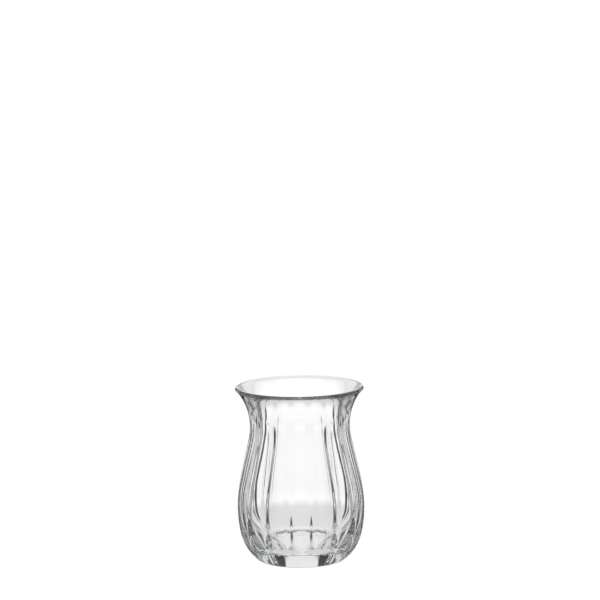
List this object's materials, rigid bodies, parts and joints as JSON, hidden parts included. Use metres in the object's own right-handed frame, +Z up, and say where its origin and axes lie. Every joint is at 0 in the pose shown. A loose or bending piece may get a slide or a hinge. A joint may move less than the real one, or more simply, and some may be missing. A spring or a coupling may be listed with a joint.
{
  "type": "tea glass",
  "caption": "Waisted clear tea glass with a flared lip, a narrow neck, a round fluted belly and a thick base that stands flat.",
  "frame": {"origin": "centre of the standing ring, on the table", "axes": "+Z up through the open mouth, -Y towards the viewer of the picture"},
  "size_m": [0.0628, 0.0628, 0.086],
  "materials": {
    "glass": "clear, colourless pressed glass, fire-polished and glossy"
  },
  "bodies": {
    "root": {"tea_glass": "glass"}
  },
  "joints": []
}
